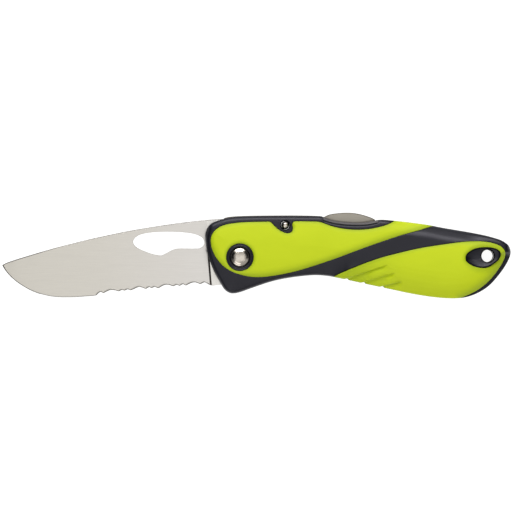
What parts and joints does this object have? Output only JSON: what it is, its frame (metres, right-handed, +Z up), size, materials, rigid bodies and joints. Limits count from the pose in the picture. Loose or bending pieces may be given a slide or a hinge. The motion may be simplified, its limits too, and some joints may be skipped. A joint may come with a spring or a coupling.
{
  "type": "folding rigging knife",
  "caption": "Folding sailing knife with a part-serrated locking blade, long thumb opening, soft grip panels, back lock pad and lanyard hole.",
  "frame": {"origin": "middle of the base that the knife lies on, under the middle of its open length and height", "axes": "+X along the knife towards the tail, +Y across it towards the spine and the lock pad, +Z up through its thickness"},
  "size_m": [0.1904, 0.032, 0.0156],
  "materials": {
    "blade_steel": "fine satin grind",
    "lock_steel": "tumbled, slightly warm",
    "polished_steel": "polished domes",
    "liner_steel": "satin",
    "spring_steel": "rolled strip",
    "bronze": "plain",
    "navy_polyamide": "satin moulded, near black navy",
    "lime_elastomer": "soft touch, matt"
  },
  "bodies": {
    "handle": {"shell_top": "navy_polyamide", "shell_bottom": "navy_polyamide", "grip_front_top": "lime_elastomer", "grip_front_bottom": "lime_elastomer", "grip_rear_top": "lime_elastomer", "grip_rear_bottom": "lime_elastomer", "liner_top": "liner_steel", "liner_bottom": "liner_steel", "back_spacer": "navy_polyamide", "rivet_mid": "liner_steel", "rivet_rear_upper": "liner_steel", "rivet_rear_lower": "liner_steel", "lock_spring": "spring_steel", "lock_pin": "polished_steel", "pivot_barrel": "polished_steel", "pivot_screw": "polished_steel", "washer_top": "bronze", "washer_bottom": "bronze"},
    "blade": {"blade": "blade_steel"},
    "lock": {"lock_bar": "lock_steel"}
  },
  "joints": [
    {"name": "blade_pivot", "type": "hinge", "parent": "handle", "child": "blade", "pos_m": [-0.00608, -0.00064, 0.0078], "axis": [0, 0, 1], "range_deg": [0, 170]},
    {"name": "lock_rock", "type": "hinge", "parent": "handle", "child": "lock", "pos_m": [0.01087, 0.01132, 0.0078], "axis": [0, 0, 1], "range_deg": [0, 2.6], "stiffness_Nm_per_rad": 1, "springref_deg": 17.19, "deforming": ["lock_spring"]}
  ]
}
